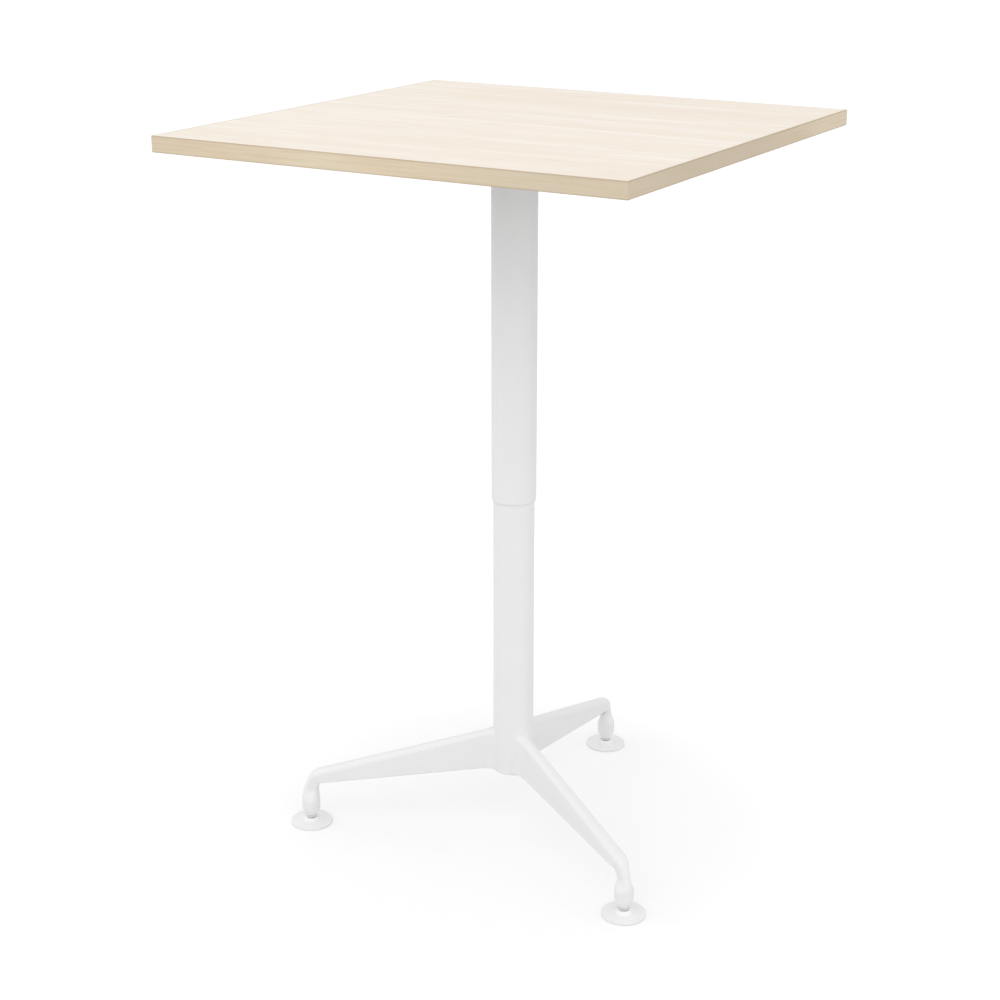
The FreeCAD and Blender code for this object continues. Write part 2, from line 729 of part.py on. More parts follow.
def release_lever():
    body = new_body("lever_arm")
    sketch = new_sketch(body, "XZ_Plane")
    upper = "lever_half"
    lower = "-lever_half"
    outline(sketch, [("0", f"pivot_height + {upper}"), ("-crank_start", f"pivot_height + {upper}"),
                     ("-crank_end", f"lever_height + {upper}"), ("-lever_length", f"lever_height + {upper}"),
                     ("-lever_length", f"lever_height + {lower}"), ("-crank_end", f"lever_height + {lower}"),
                     ("-crank_start", f"pivot_height + {lower}"), ("-lever_half", f"pivot_height + {lower}"),
                     ("0", f"pivot_height + {lower}", "lever_half", 1),
                     ("lever_half", "pivot_height", "lever_half", 1)])
    pad(body, sketch, "lever_width", midplane=True)
    sketch = new_sketch(body, "XZ_Plane")
    circle(sketch, "-lever_reach", "pivot_height", "eye_radius")
    pad(body, sketch, "lever_width", midplane=True)
    sketch = new_sketch(body, "XZ_Plane")
    circle(sketch, "-lever_reach", "pivot_height", "pivot_diameter / 2 + slide_fit")
    pocket(body, sketch, "lever_width + overrun", midplane=True)

    body = new_body("lever_grip")
    sketch = new_sketch(body, "XZ_Plane", y="lever_height")
    outline(sketch, [("-grip_start", "grip_half_edge"), ("-grip_start - grip_taper", "grip_half"),
                     ("-grip_end + grip_taper", "grip_half"),
                     ("-grip_end", "grip_half_edge", "grip_half_edge", 1),
                     ("-grip_end - grip_half_edge", "0", "grip_half_edge", 1),
                     ("-grip_end", "-grip_half_edge"), ("-grip_end + grip_taper", "-grip_half"),
                     ("-grip_start - grip_taper", "-grip_half"), ("-grip_start", "-grip_half_edge")])
    pad(body, sketch, "grip_width", midplane=True)
    sketch = new_sketch(body, "YZ_Plane", y="lever_height", z="-grip_start")
    rectangle(sketch, "lever_width / 2 + seat_fit", "lever_half + seat_fit")
    pocket(body, sketch, "lever_length - grip_start + seat_fit")

    pivot = doc.addObject("Part::Cylinder", "Pivot")
    pivot.Placement = FreeCAD.Placement(FreeCAD.Vector(), FreeCAD.Rotation(FreeCAD.Vector(1, 0, 0), 90))
    bind(pivot, Radius="pivot_diameter / 2", Height="pivot_length")
    bind(pivot, Placement__Base__x="-lever_reach", Placement__Base__y="pivot_length / 2",
         Placement__Base__z="pivot_height")
    node(pivot, "lever_pivot")


# Hub in the foot of the column

def hub():
    body = new_body("hub_insert")
    sketch = new_sketch(body, "XY_Plane", z="hub_insert_bottom")
    circle(sketch, "0", "0", "tube_bore - seat_fit")
    pad(body, sketch, "web_top - (hub_insert_bottom)")
    sketch = new_sketch(body, "XY_Plane", z="web_bottom")
    circle(sketch, "0", "0", "hub_cavity_radius")
    pocket(body, sketch, "web_bottom - (hub_insert_bottom) + overrun")
    sketch = new_sketch(body, "XY_Plane", z="web_top")
    circle(sketch, "0", "0", "stud_diameter / 2 + screw_fit")
    pocket(body, sketch, "web_thickness + overrun")
    leg_screw_holes(body, "leg_screw_diameter / 2 + screw_fit", "tube_bore + overrun")
    body.Placement = turned(LEG_FIRST_ANGLE)

    cap = fuse(cylinder("tube_radius - cap_inset", "hub_bottom - cap_flange", "hub_bottom"),
               cylinder("tube_bore - seat_fit", "hub_bottom", "hub_bottom + cap_plug"))
    node(cap, "bottom_cap")


# Cast legs

def leg(label, angle):
    body = new_body(label)
    arm_and_post(body)
    root_flare(body)
    round_foot(body)
    channel(body)

    sketch = new_sketch(body, "XY_Plane", z="leg_root_top + overrun")
    circle(sketch, "0", "0", "saddle_radius")
    pocket(body, sketch, "leg_root_top + overrun")
    leg_screw_pair(body, "leg_screw_diameter / 2 + hole_fit", "root_wall + overrun")
    sketch = new_sketch(body, "XY_Plane", z="insert_top")
    circle(sketch, "glide_radius", "0", "insert_radius + seat_fit")
    pocket(body, sketch, "insert_length + overrun")
    body.Placement = turned(angle)


def arm_and_post(body):
    """The side view of the leg, then its drafted flanks cut from both sides."""
    sketch = new_sketch(body, "XZ_Plane")
    outline(sketch, [("leg_root_start", "hub_bottom"),
                     ("leg_belly_reach", "hub_bottom", "leg_belly_radius", -1),
                     ("leg_knee_reach", "leg_knee_height"), ("leg_post_inner", "leg_post_bottom"),
                     ("leg_post_outer", "leg_post_bottom"),
                     ("leg_post_outer", "leg_end_foot", "leg_end_radius", 1),
                     ("leg_end_reach", "leg_end_height"),
                     ("leg_crest_end", "leg_crest_height", "leg_crest_radius", 1),
                     ("leg_crest_start", "leg_root_top"), ("leg_root_start", "leg_root_top")])
    pad(body, sketch, "leg_blank_width", midplane=True)

    half_blank = "leg_blank_width / 2 + overrun"
    for side in (1, -1):
        sketch = new_sketch(body, "YZ_Plane")
        outline(sketch, [(f"{side} * leg_width_top / 2", "leg_root_top"),
                         (f"{side} * leg_width_knee / 2", "leg_knee_height", "leg_flank_radius", -side),
                         (f"{side} * leg_width_post / 2", "leg_post_bottom - overrun"),
                         (f"{side} * ({half_blank})", "leg_post_bottom - overrun"),
                         (f"{side} * ({half_blank})", "leg_root_top + overrun"),
                         (f"{side} * leg_width_top / 2", "leg_root_top + overrun")])
        pocket(body, sketch, "leg_post_outer + overrun", reverse=True)
    round_crown(body)


def round_crown(body):
    """Rounds the two edges that run along the top of the leg and down its end."""
    base = body.Tip
    reaches = (number("leg_crest_end"), number("leg_end_reach"))
    names = []
    for index, edge in enumerate(base.Shape.Edges, start=1):
        ends = sorted(vertex.X for vertex in edge.Vertexes)
        if len(ends) == 2 and all(abs(a - b) < MATCH_TOLERANCE for a, b in zip(ends, reaches)):
            names.append(f"Edge{index}")
    feature = body.newObject("PartDesign::Fillet", "Fillet")
    feature.Base = (base, names)
    bind(feature, Radius="crown_radius")
    doc.recompute()


def root_flare(body):
    """The leg widens in two hollow curves where it meets the column."""
    sketch = new_sketch(body, "XY_Plane", z="hub_bottom")
    tip = "leg_width_knee / 2"
    root = f"{tip} + flare_side"
    outline(sketch, [("leg_root_start", f"-({root})"), ("tube_bore", f"-({root})", "flare_radius", -1),
                     ("flare_reach", f"-({tip})"), ("flare_reach", tip, "flare_radius", -1),
                     ("tube_bore", root), ("leg_root_start", root)])
    pad(body, sketch, "leg_root_height", draft=-FLARE_DRAFT)


def round_foot(body):
    sketch = new_sketch(body, "XZ_Plane", x="glide_radius")
    outline(sketch, [("0", "bulb_bottom"), ("bulb_bottom_radius", "bulb_bottom"),
                     ("bulb_round_radius", "bulb_round_height"), ("bulb_radius", "bulb_edge_height"),
                     ("bulb_radius", "bulb_shoulder_height"), ("bulb_top_radius", "bulb_top"),
                     ("0", "bulb_top")])
    revolve(body, sketch)


def channel(body):
    """The hollow underside runs out along the arm and down the inner side of the post."""
    sketch = new_sketch(body, "XZ_Plane")
    floor = "leg_post_bottom"
    outline(sketch, [("root_wall", floor), ("root_wall", "leg_root_top - 2 * channel_roof"),
                     ("leg_crest_end", "leg_crest_height - channel_roof"),
                     ("channel_end", "leg_top_height - channel_roof"), ("slot_reach", "slot_top"),
                     ("slot_reach", "slot_bottom"), ("leg_knee_reach", "slot_bottom"),
                     ("leg_knee_reach", floor)])
    pocket(body, sketch, "channel_width", midplane=True)


def leg_fasteners():
    screws = []
    inserts = []
    for index in range(len(LEG_NAMES)):
        angle = LEG_FIRST_ANGLE + LEG_TURN * index
        for height in ("leg_screw_low", "leg_screw_high"):
            head = radial_cylinder("leg_head_radius", "root_wall", "root_wall + leg_head_height", height)
            shank = radial_cylinder("leg_screw_diameter / 2", "screw_tip", "root_wall", height)
            screw = fuse(head, shank)
            screw.Placement = turned(angle)
            screws.append(screw)
        insert = ring("insert_radius", "stem_diameter / 2 + screw_fit", "bulb_bottom", "insert_top")
        inserts.append(at_glide(insert, angle))
    node(compound(screws), "leg_screws")
    node(compound(inserts), "thread_inserts")


# Levelling glides

def at_glide(item, angle):
    return bind(item, Placement__Base__x=f"glide_radius * cos({angle} deg)",
                Placement__Base__y=f"glide_radius * sin({angle} deg)")


def glide(name, angle):
    stem = fuse(cylinder("stem_diameter / 2", "collar_top", "stem_top"),
                prism("collar_across", "collar_bottom", "collar_top"))
    stem = fuse(stem, cylinder("neck_radius", "ball_height", "collar_bottom"))
    ball = doc.addObject("Part::Sphere", "Ball")
    bind(ball, Radius="ball_radius", Placement__Base__z="ball_height")
    node(at_glide(fuse(stem, ball), angle), f"glide_stem_{name}")

    body = new_body(f"glide_pad_{name}")
    sketch = new_sketch(body, "XZ_Plane")
    outline(sketch, [("0", "sole_thickness"), ("pad_radius", "sole_thickness"),
                     ("pad_radius", "pad_rim_top"),
                     ("pad_boss_radius", "pad_crown_top"), ("pad_boss_radius", "pad_boss_top"),
                     ("0", "pad_boss_top")])
    revolve(body, sketch)
    sketch = new_sketch(body, "XZ_Plane", y="ball_height")
    outline(sketch, [("0", "-socket_radius"), ("0", "socket_radius", "socket_radius", -1),
                     ("socket_radius", "0", "socket_radius", -1)])
    groove(body, sketch)
    at_glide(body, angle)

    node(at_glide(cylinder("sole_radius", "0", "sole_thickness"), angle), f"glide_sole_{name}")


def write_parts():
    doc.recompute()
    for item in doc.Objects:
        faults = [state for state in item.State if state in ("Invalid", "Error")]
        if faults:
            raise ValueError(f"{item.Label} is {faults[0]}")
    for item in nodes:
        if item.Shape.isNull() or not item.Shape.isValid():
            raise ValueError(f"{item.Label} has no valid shape")
    os.makedirs("parts", exist_ok=True)
    for item in nodes:
        item.Shape.exportStep(f"parts/{item.Label}.step")
        print(item.Label, len(item.Shape.Solids), round(item.Shape.Volume))


table_top()
spider()
spider_fasteners()
column()
gas_spring()
release_lever()
hub()
leg_fasteners()
for position, leg_name in enumerate(LEG_NAMES):
    leg_angle = LEG_FIRST_ANGLE + LEG_TURN * position
    leg(f"leg_{leg_name}", leg_angle)
    glide(leg_name, leg_angle)
write_parts()
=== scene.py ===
import json
import math
from collections import namedtuple

import bmesh
import bpy
from mathutils import Matrix, Vector


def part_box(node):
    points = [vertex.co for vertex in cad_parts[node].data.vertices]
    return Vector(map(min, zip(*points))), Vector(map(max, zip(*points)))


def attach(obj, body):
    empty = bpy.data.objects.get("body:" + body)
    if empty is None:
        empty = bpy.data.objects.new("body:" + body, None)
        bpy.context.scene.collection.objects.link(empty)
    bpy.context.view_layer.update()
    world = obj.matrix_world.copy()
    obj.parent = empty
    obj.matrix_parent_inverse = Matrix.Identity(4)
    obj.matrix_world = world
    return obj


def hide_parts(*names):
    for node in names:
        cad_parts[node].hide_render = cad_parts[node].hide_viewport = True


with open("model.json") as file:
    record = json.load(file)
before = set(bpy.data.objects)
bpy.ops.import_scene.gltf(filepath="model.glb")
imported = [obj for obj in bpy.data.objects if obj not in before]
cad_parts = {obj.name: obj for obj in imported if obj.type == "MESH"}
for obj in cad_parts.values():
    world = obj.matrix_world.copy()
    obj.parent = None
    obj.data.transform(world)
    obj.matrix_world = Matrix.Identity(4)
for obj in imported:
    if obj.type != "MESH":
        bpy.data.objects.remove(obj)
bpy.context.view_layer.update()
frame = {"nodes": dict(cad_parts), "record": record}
MM = 0.001
QUARTER_TURN = math.pi / 2

# Camera, solved from the square top and the feet: its place in metres, its lens and sensor in millimetres
EYE = Vector((1.3263, -2.3139, 1.4541))
AZIMUTH = math.radians(30.26)
ELEVATION = math.radians(19.11)
LENS = 69.21
SENSOR = 36.0

# Studio, with lengths in metres. The floor glows where it is seen, more so further out from the column.
FLOOR_SIZE = 40.0
FLOOR_BOUNCE = 0.64
FLOOR_SEEN = 0.69
GLOW_START = 0.30
GLOW_END = 0.70
GLOW_NEAR = 0.33
GLOW_FAR = 0.46
SKY_SEEN = 1.0
SKY_LIGHT = 0.86
LAMP_TARGET = Vector((0, 0, 0.6))
# Each soft lamp: name, place and width in metres, and power in watts
LAMPS = (
    ("front", (1.9, -4.2, 3.4), 7.0, 92),
    ("left", (-4.2, -2.0, 2.8), 4.0, 30),
    ("right", (4.4, 0.8, 1.2), 3.0, 13),
)

# Colours
PALE_MAPLE = (0.932, 0.857, 0.770)
WARM_MAPLE = (0.887, 0.792, 0.683)
CREAM_MAPLE = (0.962, 0.908, 0.842)
FIBRE_MAPLE = (0.857, 0.762, 0.648)
FLECK_MAPLE = (0.700, 0.600, 0.480)
PALE_EDGE = (0.760, 0.655, 0.500)
WARM_EDGE = (0.715, 0.595, 0.430)
DARK_EDGE = (0.60, 0.475, 0.315)
# A random duller tone of the edging, which also paints shade towards the front corner
DULL_AND_SHADED_EDGE = (0.595, 0.500, 0.375)
# The tone of the glue line at the upper arris and of the painted shade at the lower arris
GLUE_LINE_AND_SHADED_EDGE = (0.46, 0.355, 0.235)
DARK_DUST = (0.50, 0.37, 0.22)
PALE_DUST = (0.63, 0.50, 0.33)
DARK_CHIP = (0.42, 0.29, 0.16)
DARK_SHEET = (0.30, 0.285, 0.26)
PALE_SHEET = (0.335, 0.32, 0.29)
FIBRE_SHEET = (0.24, 0.23, 0.205)
WHITE_COAT = (0.878, 0.878, 0.878)
SHADED_COAT = (0.864, 0.864, 0.866)
WHITE_PLASTIC = (0.90, 0.90, 0.90)
SHADED_PLASTIC = (0.88, 0.88, 0.88)
BLACK_PLASTIC = (0.026, 0.026, 0.027)
FADED_PLASTIC = (0.034, 0.034, 0.034)
BRIGHT_ZINC = (0.80, 0.81, 0.82)
DULL_ZINC = (0.70, 0.71, 0.73)
BRIGHT_CHROME = (0.80, 0.81, 0.82)
DULL_CHROME = (0.74, 0.75, 0.77)
BRIGHT_CASTING = (0.60, 0.61, 0.62)
DULL_CASTING = (0.48, 0.49, 0.50)
BRIGHT_BRASS = (0.78, 0.60, 0.29)
DULL_BRASS = (0.56, 0.41, 0.19)
BLACK_ENAMEL = (0.018, 0.018, 0.019)
FADED_ENAMEL = (0.026, 0.026, 0.027)
BLACK_RUBBER = (0.022, 0.022, 0.022)
FADED_RUBBER = (0.045, 0.044, 0.043)
DARK_FELT = (0.60, 0.59, 0.57)
PALE_FELT = (0.76, 0.75, 0.73)

# A layer of grain is a noise, or the distances within cells, with so many waves per metre along each axis.
# It begins to show where the noise reaches its start, and is at its strength where the noise is full.
NOISE_LOW = 0.3
NOISE_HIGH = 0.7
Layer = namedtuple("Layer", "stretch detail roughness distortion start full strength shift cells",
                   defaults=(2, 0.5, 0, NOISE_LOW, NOISE_HIGH, 1, (0, 0, 0), False))


def even(waves):
    return (waves, waves, waves)


MAPLE_BANDS = Layer((0.7, 6.0, 1), detail=3, distortion=0.5, start=0.36, full=0.64)
MAPLE_FLAMES = Layer((1.9, 26, 5), detail=4, roughness=0.55, distortion=0.7,
                     start=0.42, full=0.66, strength=0.9)
MAPLE_GROWTH = Layer((3.2, 75, 8), detail=4, roughness=0.6, distortion=0.5,
                     start=0.50, full=0.72, strength=0.7)
MAPLE_FIBRES = Layer((6, 300, 7), detail=4, roughness=0.65, start=0.46, full=0.74, strength=0.6)
MAPLE_PORES = Layer((30, 1500, 30), detail=3, start=0.5, full=0.8, strength=0.4)
MAPLE_FLECKS = Layer((16, 330, 20), detail=1, start=0.68, full=0.78, strength=0.7)
EDGE_CLOUDS = Layer((6, 18, 1), start=0.35, full=0.65)
# A slow random change of tone along the edging. Its offset also paints shade, because it puts the darker
# stretch at the front corner.
EDGE_TONES_AND_SHADE = Layer((1.7, 0.1, 1), detail=0, start=0.42, full=0.62, strength=0.85, shift=(5.1, 0, 0))
EDGE_LINES = Layer((9, 320, 1), detail=4, start=0.48, full=0.75, strength=0.6)
BOARD_DUST = Layer(even(1600), detail=3)
BOARD_CHIPS = Layer((420, 420, 1008), start=0.1, full=0.6, cells=True)
SHEET_CLOUDS = Layer(even(4), start=0.35, full=0.65)
SHEET_FIBRES = Layer((60, 90, 60), detail=5, roughness=0.65, start=0.5, full=0.8, strength=0.5)
COAT_CLOUDS = Layer(even(14), detail=3)
COAT_PEEL = Layer(even(620))
MOULD_FLOW = Layer(even(40), distortion=0.6)
WHITE_MOULD_GRAIN = Layer(even(900), detail=3, roughness=0.6)
BLACK_MOULD_GRAIN = Layer(even(1300), detail=3, roughness=0.6)
ZINC_CRYSTALS = Layer(even(900), start=0.1, full=0.8, cells=True)
ZINC_MARKS = Layer((900, 900, 90), detail=3)
CHROME_TURNING = Layer((20, 20, 2600))
CASTING_SAND = Layer(even(900), detail=4, roughness=0.65)
BRASS_TARNISH = Layer(even(500), detail=4, start=0.35, full=0.7)
ENAMEL_PEEL = Layer(even(700))
RUBBER_BLOOM = Layer(even(220), detail=4, start=0.35, full=0.75)
FELT_HAIRS = Layer(even(1500), detail=6, roughness=0.75, distortion=1.5)

# The edging is darker along its two arrises: a dark glue line at the upper one, and painted shade at the
# lower one, where the rounded arris turns down away from the light
BAND_LOW, BAND_TOP = (corner.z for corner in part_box("edge_band_front"))
ARRIS_LINE_WIDTH = 2.2 * MM
ARRIS_LINE_STRENGTH = 0.8


# Materials

def feed(tree, value, socket):
    """Links an output to a socket, or sets the socket's own value."""
    if isinstance(value, bpy.types.NodeSocket):
        tree.links.new(value, socket)
    else:
        socket.default_value = value


def add_node(tree, kind, *in_order, **by_name):
    """A shader node whose sockets are fed in their order or by their names."""
    made = tree.nodes.new("ShaderNode" + kind)
    for socket, value in zip(made.inputs, in_order):
        feed(tree, value, socket)
    for name, value in by_name.items():
        feed(tree, value, made.inputs[name.replace("_", " ")])
    return made


def reckon(tree, operation, first, second):
    """The outcome of an operation on two numbers."""
    made = add_node(tree, "Math", first, second)
    made.operation = operation
    return made.outputs["Value"]


class Finish:
    """A procedural material: one Principled shader and the layers of grain that feed it."""

    def __init__(self, name, **sockets):
        self.material = bpy.data.materials.new(name)
        self.material.use_nodes = True
        self.tree = self.material.node_tree
        self.shader = self.tree.nodes["Principled BSDF"]
        self.where = self.node("TexCoord").outputs["Object"]
        self.grains = {}
        for socket, value in sockets.items():
            self.shader.inputs[socket.replace("_", " ")].default_value = value

    def node(self, kind, **by_name):
        return add_node(self.tree, kind, **by_name)

    def grain(self, layer):
        """A layer's noise or cells, made once."""
        if layer not in self.grains:
            place = self.node("Mapping", Vector=self.where, Location=layer.shift, Scale=layer.stretch)
            vector = place.outputs["Vector"]
            if layer.cells:
                made = self.node("TexVoronoi", Vector=vector, Scale=1).outputs["Distance"]
            else:
                made = self.node("TexNoise", Vector=vector, Scale=1, Detail=layer.detail,
                                 Roughness=layer.roughness, Distortion=layer.distortion).outputs["Fac"]
            self.grains[layer] = made
        return self.grains[layer]

    def levels(self, value, low, high, to_low, to_high):
        made = self.node("MapRange", Value=value, From_Min=low, From_Max=high, To_Min=to_low, To_Max=to_high)
        return made.outputs["Result"]

    def blend(self, share, first, second):
        """A mix of two colours, from the first at a share of 0 to the second at 1."""
        made = self.node("Mix")
        made.data_type = "RGBA"
        feed(self.tree, share, made.inputs["Factor"])
        for value, name in ((first, "A"), (second, "B")):
            socket = next(s for s in made.inputs if s.name == name and s.type == "RGBA")
            feed(self.tree, value if isinstance(value, bpy.types.NodeSocket) else (*value, 1), socket)
        return next(s for s in made.outputs if s.type == "RGBA")

    def over(self, ground, layer, tone):
        """A ground with a layer of another tone over it."""
        share = self.levels(self.grain(layer), layer.start, layer.full, 0, layer.strength)
        return self.blend(share, ground, tone)

    def color(self, value):
        feed(self.tree, value, self.shader.inputs["Base Color"])

    def rough(self, layer, low, high):
        """Roughness that follows a layer, between two values."""
        value = self.levels(self.grain(layer), NOISE_LOW, NOISE_HIGH, low, high)
        feed(self.tree, value, self.shader.inputs["Roughness"])

    def bump(self, layer, depth, strength=1):
        """Relief that follows a layer."""
        made = self.node("Bump", Height=self.grain(layer), Distance=depth, Strength=strength)
        feed(self.tree, made.outputs["Normal"], self.shader.inputs["Normal"])


def maple_laminate():
    """Pale maple decor: long soft bands, flamed stripes, wavy growth lines, fine fibres, pores and flecks."""
    made = Finish("maple_laminate", Specular_IOR_Level=0.12)
    tone = made.over(PALE_MAPLE, MAPLE_BANDS, WARM_MAPLE)
    tone = made.over(tone, MAPLE_FLAMES, CREAM_MAPLE)
    tone = made.over(tone, MAPLE_GROWTH, WARM_MAPLE)
    tone = made.over(tone, MAPLE_FIBRES, FIBRE_MAPLE)
    tone = made.over(tone, MAPLE_PORES, FIBRE_MAPLE)
    tone = made.over(tone, MAPLE_FLECKS, FLECK_MAPLE)
    made.color(tone)
    made.rough(MAPLE_FIBRES, low=0.50, high=0.60)
    made.bump(MAPLE_PORES, depth=0.03 * MM, strength=0.5)
    return made.material


def edge_banding():
    """Maple coloured edging, whose lines run along each side of the top."""
    made = Finish("edge_banding", Specular_IOR_Level=0.30)
    axes = made.node("SeparateXYZ", Vector=made.where).outputs
    along = reckon(made.tree, "ADD", axes["X"], axes["Y"])
    made.where = made.node("CombineXYZ", X=along, Y=axes["Z"]).outputs["Vector"]
    tone = made.over(PALE_EDGE, EDGE_CLOUDS, WARM_EDGE)
    # Painted shade: the slow tone layer darkens the edging towards the front corner
    tone = made.over(tone, EDGE_TONES_AND_SHADE, DULL_AND_SHADED_EDGE)
    tone = made.over(tone, EDGE_LINES, DARK_EDGE)
    # Darker bands at both arrises: a glue line at the top, painted shade at the bottom
    for arris, inner in ((BAND_TOP, BAND_TOP - ARRIS_LINE_WIDTH), (BAND_LOW, BAND_LOW + ARRIS_LINE_WIDTH)):
        glue_line_and_shade = made.levels(axes["Z"], inner, arris, 0, ARRIS_LINE_STRENGTH)
        tone = made.blend(glue_line_and_shade, tone, GLUE_LINE_AND_SHADED_EDGE)
    made.color(tone)
    made.rough(EDGE_LINES, low=0.42, high=0.55)
    made.bump(EDGE_LINES, depth=0.04 * MM, strength=0.5)
    return made.material


def particle_board():
    """Pressed chips and dust."""
    made = Finish("particle_board", Specular_IOR_Level=0.2)
    tone = made.over(DARK_DUST, BOARD_DUST, PALE_DUST)
    made.color(made.over(tone, BOARD_CHIPS, DARK_CHIP))
    made.rough(BOARD_DUST, low=0.80, high=0.95)
    made.bump(BOARD_CHIPS, depth=0.2 * MM)
    return made.material


def backing_sheet():
    """The plain balancing sheet under the board."""
    made = Finish("backing_sheet", Specular_IOR_Level=0.3)
    tone = made.over(DARK_SHEET, SHEET_CLOUDS, PALE_SHEET)
    made.color(made.over(tone, SHEET_FIBRES, FIBRE_SHEET))
    made.rough(SHEET_FIBRES, low=0.50, high=0.65)
    made.bump(SHEET_FIBRES, depth=0.03 * MM, strength=0.4)
    return made.material


def white_powder_coat():
    """Baked white powder with a fine orange peel."""
    made = Finish("white_powder_coat", Specular_IOR_Level=0.35)
    made.color(made.over(WHITE_COAT, COAT_CLOUDS, SHADED_COAT))
    made.rough(COAT_PEEL, low=0.42, high=0.52)
    made.bump(COAT_PEEL, depth=0.05 * MM, strength=0.5)
    return made.material


def moulded_plastic(name, light, shade, grain, low, high):
    """Injection moulded plastic with an even spark-eroded grain."""
    made = Finish(name, Specular_IOR_Level=0.45)
    made.color(made.over(light, MOULD_FLOW, shade))
    made.rough(grain, low, high)
    made.bump(grain, depth=0.04 * MM, strength=0.5)
    return made.material


def white_plastic():
    return moulded_plastic("white_plastic", WHITE_PLASTIC, SHADED_PLASTIC, WHITE_MOULD_GRAIN,
                           low=0.40, high=0.52)


def black_plastic():
    return moulded_plastic("black_plastic", BLACK_PLASTIC, FADED_PLASTIC, BLACK_MOULD_GRAIN,
                           low=0.42, high=0.60)


def zinc_steel():
    """Steel with a thin zinc plating: faint crystals and drawn marks."""
    made = Finish("zinc_steel", Metallic=1.0)
    made.color(made.over(BRIGHT_ZINC, ZINC_CRYSTALS, DULL_ZINC))
    made.rough(ZINC_MARKS, low=0.40, high=0.56)
    made.bump(ZINC_MARKS, depth=0.01 * MM, strength=0.5)
    return made.material


def chrome_rod():
    """Polished chrome with faint turning marks."""
    made = Finish("chrome_rod", Metallic=1.0)
    made.color(made.over(BRIGHT_CHROME, CHROME_TURNING, DULL_CHROME))
    made.rough(CHROME_TURNING, low=0.06, high=0.14)
    made.bump(CHROME_TURNING, depth=0.003 * MM, strength=0.3)
    return made.material


def cast_aluminium():
    """Bare aluminium with the skin of its sand mould."""
    made = Finish("cast_aluminium", Metallic=1.0)
    made.color(made.over(BRIGHT_CASTING, CASTING_SAND, DULL_CASTING))
    made.rough(CASTING_SAND, low=0.45, high=0.62)
    made.bump(CASTING_SAND, depth=0.08 * MM, strength=0.7)
    return made.material


def brass_insert():
    """Slightly tarnished brass."""
    made = Finish("brass_insert", Metallic=1.0)
    made.color(made.over(BRIGHT_BRASS, BRASS_TARNISH, DULL_BRASS))
    made.rough(BRASS_TARNISH, low=0.25, high=0.45)
    made.bump(BRASS_TARNISH, depth=0.01 * MM, strength=0.5)
    return made.material


def black_enamel():
    """Glossy black paint."""
    made = Finish("black_enamel", Coat_Weight=0.3, Coat_Roughness=0.2)
    made.color(made.over(BLACK_ENAMEL, ENAMEL_PEEL, FADED_ENAMEL))
    made.rough(ENAMEL_PEEL, low=0.28, high=0.40)
    made.bump(ENAMEL_PEEL, depth=0.02 * MM, strength=0.4)
    return made.material


def black_rubber():
    """Black rubber with a pale bloom."""
    made = Finish("black_rubber", Specular_IOR_Level=0.35)
    made.color(made.over(BLACK_RUBBER, RUBBER_BLOOM, FADED_RUBBER))
    made.rough(RUBBER_BLOOM, low=0.65, high=0.82)
    made.bump(RUBBER_BLOOM, depth=0.05 * MM, strength=0.5)
    return made.material


def felt():
    """Pressed pale wool under the pads."""
    made = Finish("felt", Sheen_Weight=0.3, Sheen_Roughness=0.6, Specular_IOR_Level=0.1)
    made.color(made.over(DARK_FELT, FELT_HAIRS, PALE_FELT))
    made.rough(FELT_HAIRS, low=0.88, high=0.98)
    made.bump(FELT_HAIRS, depth=0.3 * MM)
    return made.material


FINISHES = {
    "maple_laminate": maple_laminate(),
    "edge_banding": edge_banding(),
    "particle_board": particle_board(),
    "backing_sheet": backing_sheet(),
    "white_powder_coat": white_powder_coat(),
    "white_plastic": white_plastic(),
    "black_plastic": black_plastic(),
    "zinc_steel": zinc_steel(),
    "chrome_rod": chrome_rod(),
    "cast_aluminium": cast_aluminium(),
    "brass_insert": brass_insert(),
    "black_enamel": black_enamel(),
    "black_rubber": black_rubber(),
    "felt": felt(),
}


# Meshes

SHARP_ANGLE = math.radians(38)
MERGE_DISTANCE = 1e-6
WELD_DISTANCE = 0.01 * MM
TURN_SEGMENTS = 128
CORNER_STEPS = 6
BEVEL_SEGMENTS = 3
ROUND_PROFILE = 0.5


def lerp(first, second, share):
    return first + (second - first) * share


def skin(loops, capped=True):
    """Faces between neighbouring loops of as many points, with the two ends closed."""
    made = bmesh.new()
    rows = [[made.verts.new(point) for point in loop] for loop in loops]
    for row, following in zip(rows, rows[1:]):
        for i in range(len(row)):
            j = (i + 1) % len(row)
            made.faces.new((row[i], row[j], following[j], following[i]))
    if capped:
        made.faces.new(rows[0])
        made.faces.new(rows[-1])
    bmesh.ops.remove_doubles(made, verts=made.verts, dist=MERGE_DISTANCE)
    bmesh.ops.recalc_face_normals(made, faces=made.faces)
    return made


def shade_evenly(item):
    """Keeps large faces flat beside narrow rounded edges."""
    item.modifiers.new("weighted", "WEIGHTED_NORMAL").keep_sharp = True


def piece(name, made, body, slot, node):
    """A mesh that rides on a body, takes its finish from a slot and stands for a CAD node."""
    mesh = bpy.data.meshes.new(name)
    made.to_mesh(mesh)
    made.free()
    mesh.shade_smooth()
    mesh.set_sharp_from_angle(angle=SHARP_ANGLE)
    mesh.materials.append(FINISHES[slot])
    item = bpy.data.objects.new(name, mesh)
    bpy.context.scene.collection.objects.link(item)
    shade_evenly(item)
    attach(item, body)
    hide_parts(node)


def rounded_block(low, high, radius):
    """A box between two corners with all its edges rounded."""
    made = bmesh.new()
    bmesh.ops.create_cube(made, size=1)
    bmesh.ops.scale(made, vec=high - low, verts=made.verts)
    bmesh.ops.translate(made, vec=(low + high) / 2, verts=made.verts)
    bmesh.ops.bevel(made, geom=made.edges, offset=radius, segments=BEVEL_SEGMENTS,
                    profile=ROUND_PROFILE, affect="EDGES")
    return made


